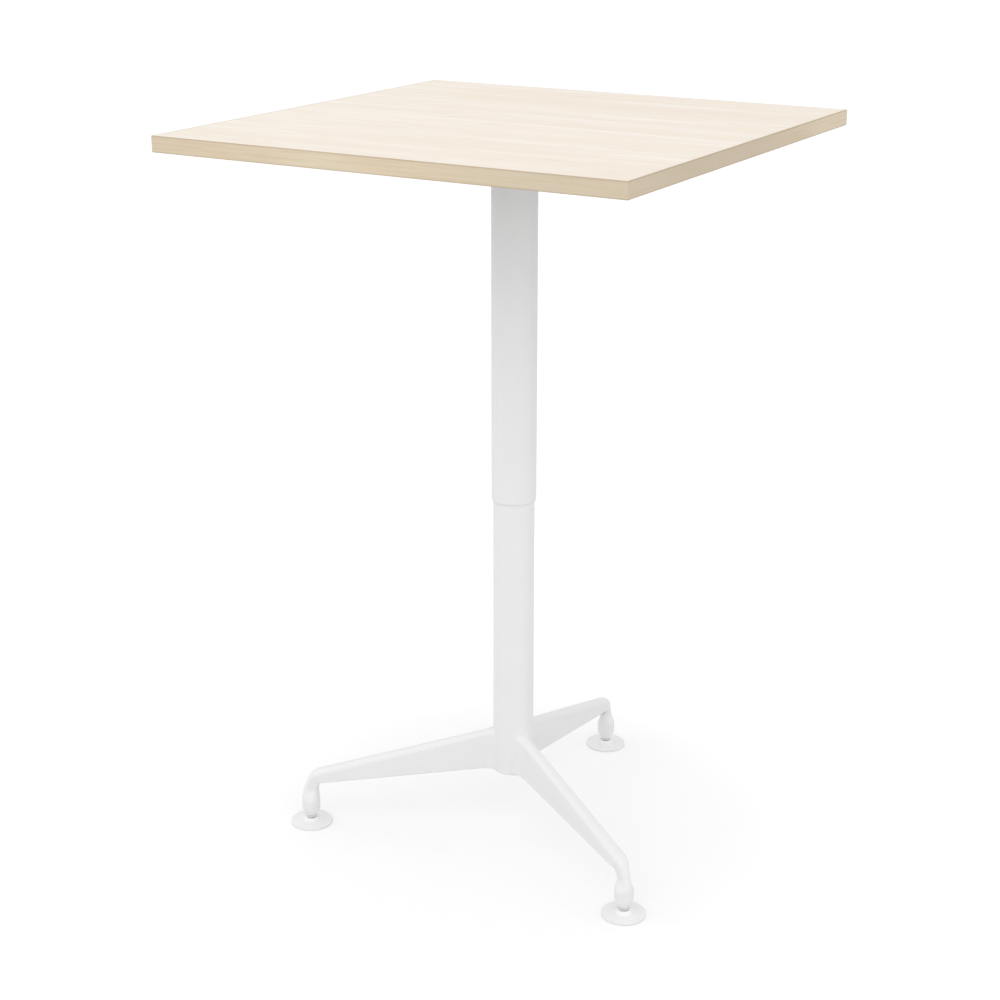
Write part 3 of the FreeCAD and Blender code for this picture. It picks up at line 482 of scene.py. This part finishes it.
def rounded_outline(corners):
    """An outline whose corners, given as (reach, height, cut), are rounded from cut to cut."""
    points = []
    for i, (reach, height, cut) in enumerate(corners):
        here = Vector((reach, height))
        if not cut:
            points.append(here)
            continue
        before = Vector(corners[i - 1][:2])
        after = Vector(corners[(i + 1) % len(corners)][:2])
        first = here + (before - here).normalized() * cut
        last = here + (after - here).normalized() * cut
        for step in range(CORNER_STEPS + 1):
            share = step / CORNER_STEPS
            points.append(lerp(lerp(first, here, share), lerp(here, last, share), share))
    return points


def turned(outline, centre=(0, 0)):
    """Circles round an upright axis for each (radius, height) of an outline."""
    angles = [math.tau * k / TURN_SEGMENTS for k in range(TURN_SEGMENTS)]
    return [[Vector((centre[0] + radius * math.cos(a), centre[1] + radius * math.sin(a), height))
             for a in angles] for radius, height in outline]


def turned_ring(outline):
    """A turned piece with a bore: the outline is closed."""
    loops = turned(outline)
    return skin(loops + [loops[0]], capped=False)


def placed(loops, matrix):
    return [[matrix @ point for point in loop] for loop in loops]


def join(parts):
    """One mesh of several separate ones."""
    made = bmesh.new()
    for part in parts:
        held = bpy.data.meshes.new("held")
        part.to_mesh(held)
        part.free()
        made.from_mesh(held)
        bpy.data.meshes.remove(held)
    return made


def node_radius(node):
    low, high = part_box(node)
    return (high.x - low.x) / 2


def round_edges(node, width):
    """Rounds a CAD node's edges with modifiers, which leave its mesh as it is."""
    item = frame["nodes"][node]
    item.modifiers.new("weld", "WELD").merge_threshold = WELD_DISTANCE
    bevel = item.modifiers.new("bevel", "BEVEL")
    bevel.width = width
    bevel.segments = BEVEL_SEGMENTS
    bevel.limit_method = "ANGLE"
    bevel.angle_limit = SHARP_ANGLE
    shade_evenly(item)


# Table top

BAND_SIDES = ("front", "back", "left", "right")
BAND_ROUND = 0.7 * MM
SHEET_ROUND = 0.12 * MM
GLUE_GAP = 0.25 * MM


def table_top():
    """Four strips of edging round the board, and a sheet on each of its faces."""
    for side in BAND_SIDES:
        node = f"edge_band_{side}"
        strip = rounded_block(*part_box(node), BAND_ROUND)
        piece(f"banding_{side}", strip, "carriage", "edge_banding", node)
    inset = Vector((GLUE_GAP, GLUE_GAP, 0))
    for node, slot in (("top_laminate", "maple_laminate"), ("backing_laminate", "backing_sheet")):
        low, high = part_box(node)
        sheet = rounded_block(low + inset, high - inset, SHEET_ROUND)
        piece(f"{node}_sheet", sheet, "carriage", slot, node)


# Telescoping column

SLEEVE_WALL = 1.25 * MM
TUBE_WALL = 2 * MM
RIM_CUT = 0.5 * MM
BORE_CUT = RIM_CUT / 2
LIP_GROOVE = 0.3 * MM
LIP_GROOVE_DEPTH = 0.6 * MM
LINER_GAP = 0.15 * MM


def tube_ring(node, wall):
    """A turned tube between the ends of a CAD node, with its four rims rounded."""
    low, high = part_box(node)
    outer = node_radius(node)
    inner = outer - wall
    return turned_ring(rounded_outline([
        (outer, low.z, RIM_CUT), (outer, high.z, RIM_CUT),
        (inner, high.z, RIM_CUT), (inner, low.z, RIM_CUT)]))


def liner_ring():
    """The plastic bush inside the sleeve, with a groove above the lip that shows below the sleeve."""
    low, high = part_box("sleeve_liner")
    sleeve_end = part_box("upper_sleeve")[0].z
    groove = sleeve_end - LIP_GROOVE
    lip = node_radius("sleeve_liner")
    outer = node_radius("upper_sleeve") - SLEEVE_WALL - LINER_GAP
    bore = node_radius("lower_tube") + LINER_GAP
    return turned_ring(rounded_outline([
        (lip, low.z, RIM_CUT), (lip, groove, 0), (lip - LIP_GROOVE_DEPTH, groove, 0),
        (outer, sleeve_end, 0), (outer, high.z, BORE_CUT),
        (bore, high.z, BORE_CUT), (bore, low.z, BORE_CUT)]))


def column():
    sleeve = tube_ring("upper_sleeve", SLEEVE_WALL)
    piece("sleeve", sleeve, "carriage", "white_powder_coat", "upper_sleeve")
    tube = tube_ring("lower_tube", TUBE_WALL)
    piece("inner_tube", tube, "base", "white_powder_coat", "lower_tube")
    piece("liner", liner_ring(), "carriage", "white_plastic", "sleeve_liner")


# Cast legs

# A station has a point on the back and one on the belly of the leg, as (reach, height), the half widths
# there, the radii of the back's and the rim's corners, and the share of the channel's depth.
Station = namedtuple("Station", "back belly back_half belly_half crown rim channel")

LEG_NAMES = ("front", "rear", "left")
LEG_ROOT = 30.3 * MM
ROOT_CREST = 161.4 * MM
BEND_REACH = 300 * MM
BEND_HEIGHT = 91.0 * MM
BELLY_START = 46 * MM
BELLY_HEIGHT = 97 * MM
KNEE_REACH = 292 * MM
KNEE_HEIGHT = 71 * MM
CREST_HALF = 8.75 * MM
KNEE_HALF = 11 * MM
CROWN = 8 * MM
RIM = 2 * MM
FLARE_SIDE = 5.8 * MM
FLARE_LENGTH = 17 * MM
FLARE_POWER = 1.5
ROOT_WALL = 41 * MM
WALL_SLOPE = 0.5 * MM
CHANNEL_HALF = 5.5 * MM
CHANNEL_ROOF = 5 * MM
BULB_RADIUS = 13.9 * MM
BULB_MIDDLE = 36 * MM
BULB_DROP = 21.2 * MM
BULB_POWER = 3.2
NOSE_RADIUS = 6.8 * MM
NOSE_HEIGHT = 2.2 * MM
BORE_RADIUS = 5.9 * MM
BORE_DEPTH = 6 * MM
FLARE_STEPS = 9
ARM_STEPS = 30
FOOT_STEPS = 5
BULB_STEPS = 12
ARC_STEPS = 9


def pad_centre(name):
    low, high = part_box(f"glide_pad_{name}")
    return (low + high) / 2


def leg_turn(name):
    """The turn round the column from the X axis to a leg."""
    centre = pad_centre(name)
    return Matrix.Rotation(math.atan2(centre.y, centre.x), 4, "Z")


FOOT_REACH = pad_centre("front").xy.length
FOOT_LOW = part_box("leg_front")[0].z


def foot_station(back_reach, back, belly_reach, belly, half, crown, rim, channel):
    """A station from sizes in millimetres and the share of the channel's depth."""
    return Station(Vector((back_reach, back)) * MM, Vector((belly_reach, belly)) * MM, half * MM, half * MM,
                   crown * MM, rim * MM, channel)


# From the bend over the neck to the round foot
FOOT = (
    foot_station(307.6, 87.5, 298.0, 69.8, 10.0, 7.8, 2.0, 1.0),
    foot_station(314.0, 81.2, 300.2, 67.2, 8.9, 7.6, 2.4, 0.8),
    foot_station(318.4, 72.6, 300.8, 63.4, 7.9, 7.4, 3.6, 0.4),
    foot_station(321.8, 64.2, 301.0, 58.8, 7.1, 7.0, 5.0, 0.0),
    foot_station(323.8, 57.2, 301.0, 54.8, 6.9, 6.8, 6.0, 0.0),
    foot_station(325.6, 51.0, 300.7, 50.4, 8.6, 8.5, 7.8, 0.0),
    foot_station(326.9, 45.6, 300.2, 45.4, 11.4, 11.3, 11.0, 0.0),
    foot_station(327.4, 40.3, 299.6, 40.3, 13.6, 13.5, 13.4, 0.0),
)


def back_height(reach):
    """The back falls in a straight line from the column to the bend."""
    return lerp(ROOT_CREST, BEND_HEIGHT, (reach - LEG_ROOT) / (BEND_REACH - LEG_ROOT))


def belly_height(reach):
    """The belly is level below the column and then falls to the knee."""
    return lerp(BELLY_HEIGHT, KNEE_HEIGHT, max(0, reach - BELLY_START) / (KNEE_REACH - BELLY_START))


def half_width(height):
    """The flanks are drafted: the leg is wider towards the knee's height."""
    return lerp(CREST_HALF, KNEE_HALF, (ROOT_CREST - height) / (ROOT_CREST - KNEE_HEIGHT))


def root_share(reach):
    """1 at the column, 0 where the fillet round the leg's root ends."""
    return max(0, 1 - (reach - LEG_ROOT) / FLARE_LENGTH)


def flare(reach):
    """Extra half width of the fillet where the leg meets the column."""
    return FLARE_SIDE * (1 - math.sqrt(1 - root_share(reach) ** 2))


def arm_station(share, channel):
    reach = lerp(LEG_ROOT, BEND_REACH, share)
    under = lerp(LEG_ROOT, KNEE_REACH, share)
    back = Vector((reach, back_height(reach)))
    belly = Vector((under, belly_height(under)))
    return Station(back, belly, half_width(back.y) + flare(reach), half_width(belly.y) + flare(reach),
                   CROWN, RIM, channel)


def arm_stations():
    """From the column to the bend: solid up to the screws' seats, then with a channel underneath."""
    span = BEND_REACH - LEG_ROOT
    wall = (ROOT_WALL - LEG_ROOT) / span
    opened = wall + WALL_SLOPE / span
    flared = FLARE_LENGTH / span
    shares = [flared * (k / FLARE_STEPS) ** FLARE_POWER for k in range(FLARE_STEPS)]
    shares += [lerp(flared, 1, k / ARM_STEPS) for k in range(ARM_STEPS + 1)]
    solid = [share for share in shares if share < wall] + [wall]
    hollow = [opened] + [share for share in shares if share > opened]
    return [arm_station(share, 0) for share in solid] + [arm_station(share, 1) for share in hollow]


def round_station(radius, height):
    return Station(Vector((FOOT_REACH + radius, height)), Vector((FOOT_REACH - radius, height)),
                   radius, radius, radius, radius, 0)


def bulb_station(angle):
    """A section of the round foot, which is fuller than a ball."""
    radius = BULB_RADIUS * math.cos(angle) ** (2 / BULB_POWER)
    height = BULB_MIDDLE - BULB_DROP * math.sin(angle) ** (2 / BULB_POWER)
    return round_station(radius, height)


def curve_through(before, first, second, after, share):
    """A Catmull-Rom step between two values, or between two stations field by field."""
    if isinstance(first, Station):
        return Station(*(curve_through(*fields, share) for fields in zip(before, first, second, after)))
    pull_in = (second - before) / 2
    pull_out = (after - first) / 2
    bend = 3 * (second - first) - 2 * pull_in - pull_out
    twist = 2 * (first - second) + pull_in + pull_out
    return first + pull_in * share + bend * share ** 2 + twist * share ** 3


def leg_stations():
    """From the column over the bend and the neck to the round foot, its nose and the screw's bore."""
    bulb_low = FOOT_LOW + NOSE_HEIGHT
    bottom = math.asin(((BULB_MIDDLE - bulb_low) / BULB_DROP) ** (BULB_POWER / 2))
    bulb = [bulb_station(bottom * k / BULB_STEPS) for k in range(BULB_STEPS + 1)]
    arm = arm_stations()
    keys = [arm[-3], arm[-1], *FOOT, bulb[0], bulb[2]]
    foot = []
    for k in range(1, len(keys) - 2):
        for step in range(1, FOOT_STEPS + 1):
            foot.append(curve_through(*keys[k - 1:k + 3], step / FOOT_STEPS))
    nose = [round_station(NOSE_RADIUS, bulb_low), round_station(NOSE_RADIUS, FOOT_LOW)]
    bore = [round_station(BORE_RADIUS, FOOT_LOW), round_station(BORE_RADIUS, FOOT_LOW + BORE_DEPTH)]
    return arm + foot + bulb[1:] + nose + bore


def half_section(at):
    """Half of a leg's section, from the middle of the back to the middle of the channel's roof."""
    height = (at.back - at.belly).length
    crown = min(at.crown, at.back_half, height / 2)
    rim = min(at.rim, at.belly_half, height / 2)
    turns = [QUARTER_TURN * k / (ARC_STEPS - 1) for k in range(ARC_STEPS)]
    points = [(0, height)]
    for turn in turns:
        points.append((at.back_half - crown + crown * math.sin(turn),
                       height - crown + crown * math.cos(turn)))
    for turn in turns:
        points.append((at.belly_half - rim + rim * math.cos(turn), rim - rim * math.sin(turn)))
    wall = min(CHANNEL_HALF, at.belly_half - rim)
    depth = max(0, at.channel) * max(0, height - CHANNEL_ROOF)
    return points + [(wall, 0), (wall, depth), (0, depth)]


def leg_loop(at):
    """A station's closed section in the leg's own frame, hugging the round column at the root."""
    rise = (at.back - at.belly).normalized()
    hug = root_share(at.back.x) ** 2
    half = half_section(at)
    outline = half + [(-across, up) for across, up in reversed(half[1:-1])]
    loop = []
    for across, up in outline:
        where = at.belly + rise * up
        inset = (math.sqrt(LEG_ROOT ** 2 - min(across ** 2, LEG_ROOT ** 2)) - LEG_ROOT) * hug
        loop.append(Vector((where.x + inset, across, where.y)))
    return loop


def legs():
    loops = [leg_loop(at) for at in leg_stations()]
    for name in LEG_NAMES:
        leg = skin(placed(loops, leg_turn(name)))
        piece(f"cast_leg_{name}", leg, "base", "white_powder_coat", f"leg_{name}")


# Glides: thin pads with a raised dish round the levelling screw

PAD_RIM = 0.9 * MM
PAD_EDGE = 2.6 * MM
PAD_CROWN = 1.2 * MM
PAD_STEP = 26 * MM
PAD_STEP_RISE = 0.25 * MM
PAD_SOCKET = 3.4 * MM
PAD_SKIRT = 0.85 * MM
PAD_SKIRT_WALL = 1.6 * MM
DISH_FOOT = 11.6 * MM
DISH_RIM = 10.2 * MM
DISH_EDGE = 8.7 * MM
DISH_TOP = 9.0 * MM


def pad_outline(low, high):
    """Half of a pad's section, from the middle of its underside to the middle of its socket."""
    radius = (high.x - low.x) / 2
    inside = radius - PAD_SKIRT_WALL
    skirt = low.z - PAD_SKIRT
    rim_top = low.z + PAD_EDGE
    crown_top = rim_top + PAD_CROWN
    socket_floor = high.z - PAD_RIM
    return rounded_outline([
        (0, low.z, 0), (inside, low.z, 0), (inside, skirt, PAD_RIM / 3), (radius, skirt, PAD_RIM / 2),
        (radius, rim_top, PAD_RIM), (PAD_STEP, rim_top + PAD_STEP_RISE, PAD_RIM / 2),
        (PAD_STEP - PAD_STEP_RISE, rim_top + 2 * PAD_STEP_RISE, PAD_STEP_RISE / 2),
        (DISH_FOOT, crown_top, PAD_CROWN), (DISH_RIM, DISH_TOP, PAD_RIM / 2),
        (DISH_EDGE, DISH_TOP, PAD_RIM / 3), (PAD_SOCKET, high.z, PAD_RIM / 2),
        (PAD_SOCKET, socket_floor, 0), (0, socket_floor, 0)])


def glides():
    for name in LEG_NAMES:
        outline = pad_outline(*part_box(f"glide_pad_{name}"))
        pad = skin(turned(outline, pad_centre(name).xy), capped=False)
        piece(f"pad_{name}", pad, f"foot_{name}", "white_plastic", f"glide_pad_{name}")


# Screws: domed heads with a cross recess under the top and a hexagon socket in the legs

SPIDER_ARMS = 4
SPIDER_ANGLE = math.radians(45)
SPIDER_SCREW_REACHES = (120 * MM, 220 * MM)
WOOD_HEAD_RADIUS = 5 * MM
WOOD_HEAD_HEIGHT = 3.5 * MM
CROSS_REACH = 2.5 * MM
CROSS_WAIST = 0.8 * MM
CROSS_DEPTH = 1.9 * MM
CROSS_POWER = 5
LEG_SCREW_HEIGHTS = (118 * MM, 144 * MM)
LEG_HEAD_RADIUS = 5 * MM
LEG_HEAD_HEIGHT = 6 * MM
HEX_HALF = 2.5 * MM
HEX_DEPTH = 3 * MM
HEX_SIDE_TURN = math.tau / 6
HEAD_EDGE_SHARE = 0.55
HEAD_FACE_SHARE = 0.66
RECESS_FLOOR_SHARE = 0.9
RECESS_MIDDLE_SHARE = 0.3
HEAD_SEGMENTS = 48


def cross(angle):
    return lerp(CROSS_WAIST, CROSS_REACH, abs(math.cos(2 * angle)) ** CROSS_POWER)


def hexagon(angle):
    return HEX_HALF / math.cos((angle % HEX_SIDE_TURN) - HEX_SIDE_TURN / 2)


def screw_head(radius, height, recess, depth):
    """Loops of a domed head, standing on its seat, with a driver recess in its face."""
    angles = [math.tau * k / HEAD_SEGMENTS for k in range(HEAD_SEGMENTS)]
    edge = height * HEAD_EDGE_SHARE
    rings = [(radius, 0), (radius, edge)]
    for k in range(1, CORNER_STEPS + 1):
        turn = QUARTER_TURN * k / CORNER_STEPS
        rings.append((lerp(radius * HEAD_FACE_SHARE, radius, math.cos(turn)),
                      lerp(edge, height, math.sin(turn))))
    loops = [[Vector((r * math.cos(a), r * math.sin(a), z)) for a in angles] for r, z in rings]
    floor_level = height - depth
    for level, share in ((height, 1), (floor_level, RECESS_FLOOR_SHARE), (floor_level, RECESS_MIDDLE_SHARE)):
        loops.append([Vector((recess(a) * share * math.cos(a), recess(a) * share * math.sin(a), level))
                      for a in angles])
    return loops


def wood_screws():
    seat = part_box("spider_screws")[0].z + WOOD_HEAD_HEIGHT
    down = Matrix.Rotation(math.pi, 4, "X")
    head = screw_head(WOOD_HEAD_RADIUS, WOOD_HEAD_HEIGHT, cross, CROSS_DEPTH)
    heads = []
    for arm in range(SPIDER_ARMS):
        turn = Matrix.Rotation(SPIDER_ANGLE + math.tau * arm / SPIDER_ARMS, 4, "Z")
        for reach in SPIDER_SCREW_REACHES:
            heads.append(skin(placed(head, turn @ Matrix.Translation((reach, 0, seat)) @ down)))
    piece("wood_screw_heads", join(heads), "carriage", "zinc_steel", "spider_screws")


def leg_screws():
    outward = Matrix.Rotation(QUARTER_TURN, 4, "Y")
    head = screw_head(LEG_HEAD_RADIUS, LEG_HEAD_HEIGHT, hexagon, HEX_DEPTH)
    heads = []
    for name in LEG_NAMES:
        for height in LEG_SCREW_HEIGHTS:
            seat = Matrix.Translation((ROOT_WALL, 0, height))
            heads.append(skin(placed(head, leg_turn(name) @ seat @ outward)))
    piece("leg_screw_heads", join(heads), "base", "zinc_steel", "leg_screws")


# Grip of the release lever

GRIP_STEPS = 72
GRIP_ARC_STEPS = 6
GRIP_CORNER = 4.5 * MM
GRIP_CORNER_SHARE = 0.9
GRIP_NOSE = 15 * MM
GRIP_NOSE_DEPTH_SHARE = 0.62
GRIP_ROOT = 6 * MM
GRIP_ROOT_DEPTH_SHARE = 0.72
GRIP_WAIST = 1.6 * MM
RIB_COUNT = 6
RIB_RISE = 0.7 * MM
RIB_START_SHARE = 0.38
RIB_END_SHARE = 0.82


def rib_height(share):
    """Height of the finger ribs at a share of the grip's length."""
    ribbed = (share - RIB_START_SHARE) / (RIB_END_SHARE - RIB_START_SHARE)
    return RIB_RISE * abs(math.sin(math.pi * RIB_COUNT * ribbed)) if 0 < ribbed < 1 else 0


def grip_loop(share, low, high):
    """A rounded section of the grip at a share of its length, which starts at the lever's arm."""
    length = high.x - low.x
    past = length * share
    nose = math.sqrt(1 - (1 - min(1, (length - past) / GRIP_NOSE)) ** 2)
    root = (1 - min(1, past / GRIP_ROOT)) ** 2
    waist = GRIP_WAIST * math.sin(math.pi * share) ** 2
    width = max((high.y - low.y) / 2 * nose - waist - root * GRIP_ROOT / 2, GRIP_WAIST)
    depth = (high.z - low.z) / 2 * lerp(GRIP_NOSE_DEPTH_SHARE, 1, nose) * lerp(1, GRIP_ROOT_DEPTH_SHARE, root)
    corner = min(GRIP_CORNER, width * GRIP_CORNER_SHARE, depth * GRIP_CORNER_SHARE)
    middle = (low.z + high.z) / 2
    loop = []
    for quarter, (side, end) in enumerate(((1, 1), (-1, 1), (-1, -1), (1, -1))):
        for step in range(GRIP_ARC_STEPS + 1):
            turn = QUARTER_TURN * (quarter + step / GRIP_ARC_STEPS)
            across = side * (width - corner) + corner * math.cos(turn)
            up = end * (depth - corner) + corner * math.sin(turn)
            if end < 0 and abs(across) < width - corner + MERGE_DISTANCE:
                up += rib_height(share)
            loop.append(Vector((high.x - past, across, middle + up)))
    return loop


def grip():
    """A paddle with a rounded nose, a slight waist and finger ribs on its lower side."""
    low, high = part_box("lever_grip")
    paddle = skin([grip_loop(k / GRIP_STEPS, low, high) for k in range(GRIP_STEPS + 1)])
    piece("grip", paddle, "release_lever", "black_plastic", "lever_grip")


# CAD nodes. All get their finish, and some that stay in sight get rounded edges of these widths.

EDGE_WIDTHS = {
    "spider": 1.0 * MM,
    "lever_arm": 0.6 * MM,
    "bottom_cap": 0.4 * MM,
    **{f"glide_stem_{name}": 0.2 * MM for name in LEG_NAMES},
}


def finish_nodes():
    for part in frame["record"]["subparts"]:
        materials = frame["nodes"][part["node"]].data.materials
        materials.clear()
        materials.append(FINISHES[part["material_slot"]])


# Studio

def camera():
    data = bpy.data.cameras.new("camera")
    data.sensor_width = SENSOR
    data.lens = LENS
    made = bpy.data.objects.new("camera", data)
    bpy.context.scene.collection.objects.link(made)
    made.location = EYE
    made.rotation_euler = (QUARTER_TURN - ELEVATION, 0, AZIMUTH)
    bpy.context.scene.camera = made


def grey(value):
    return (value, value, value, 1)


def mixed(tree, share, first, second):
    return add_node(tree, "MixShader", share, first, second).outputs["Shader"]


def seen_directly(tree):
    """1 for rays from the camera or from a mirror or glass, 0 for the light on the object."""
    path = add_node(tree, "LightPath").outputs
    mirrored = reckon(tree, "MAXIMUM", path["Is Camera Ray"], path["Is Glossy Ray"])
    return reckon(tree, "MAXIMUM", mirrored, path["Is Transmission Ray"])


def floor_glow(tree):
    """Light that makes the floor white further out, where it is seen."""
    reach = add_node(tree, "VectorMath", add_node(tree, "TexCoord").outputs["Object"])
    reach.operation = "LENGTH"
    spread = add_node(tree, "MapRange", Value=reach.outputs["Value"], From_Min=GLOW_START, From_Max=GLOW_END,
                      To_Min=GLOW_NEAR, To_Max=GLOW_FAR)
    spread.interpolation_type = "SMOOTHSTEP"
    return add_node(tree, "Emission", Strength=spread.outputs["Result"]).outputs["Emission"]


def floor():
    """A pale floor that looks white further out, keeps the shadow near the feet and is clear from below."""
    bpy.ops.mesh.primitive_plane_add(size=FLOOR_SIZE)
    made = bpy.context.object
    made.name = "floor"
    material = bpy.data.materials.new("floor")
    material.use_nodes = True
    tree = material.node_tree
    tree.nodes.clear()
    matt = add_node(tree, "BsdfDiffuse", Color=grey(FLOOR_BOUNCE)).outputs["BSDF"]
    shaded = add_node(tree, "BsdfDiffuse", Color=grey(FLOOR_SEEN)).outputs["BSDF"]
    bright = add_node(tree, "AddShader", shaded, floor_glow(tree)).outputs["Shader"]
    upper = mixed(tree, seen_directly(tree), matt, bright)
    clear = add_node(tree, "BsdfTransparent").outputs["BSDF"]
    below = reckon(tree, "MULTIPLY", add_node(tree, "NewGeometry").outputs["Backfacing"],
                   add_node(tree, "LightPath").outputs["Is Camera Ray"])
    add_node(tree, "OutputMaterial", Surface=mixed(tree, below, upper, clear))
    made.data.materials.append(material)


def sky():
    """A white sky where it is seen, and a plain soft light on the object."""
    world = bpy.data.worlds.new("studio")
    world.use_nodes = True
    tree = world.node_tree
    tree.nodes.clear()
    light = add_node(tree, "Background", Color=grey(1), Strength=SKY_LIGHT).outputs["Background"]
    seen = add_node(tree, "Background", Color=grey(1), Strength=SKY_SEEN).outputs["Background"]
    add_node(tree, "OutputWorld", Surface=mixed(tree, seen_directly(tree), light, seen))
    bpy.context.scene.world = world


def lamp(name, place, size, power):
    """A soft lamp that points at the middle of the table."""
    data = bpy.data.lights.new(name, "AREA")
    data.size = size
    data.energy = power
    made = bpy.data.objects.new(name, data)
    bpy.context.scene.collection.objects.link(made)
    made.location = place
    made.rotation_euler = (LAMP_TARGET - Vector(place)).to_track_quat("-Z", "Y").to_euler()


# The table in its studio

finish_nodes()
table_top()
column()
legs()
glides()
wood_screws()
leg_screws()
grip()
for node, width in EDGE_WIDTHS.items():
    round_edges(node, width)

camera()
floor()
sky()
for setting in LAMPS:
    lamp(*setting)
bpy.context.scene.view_settings.view_transform = "Standard"
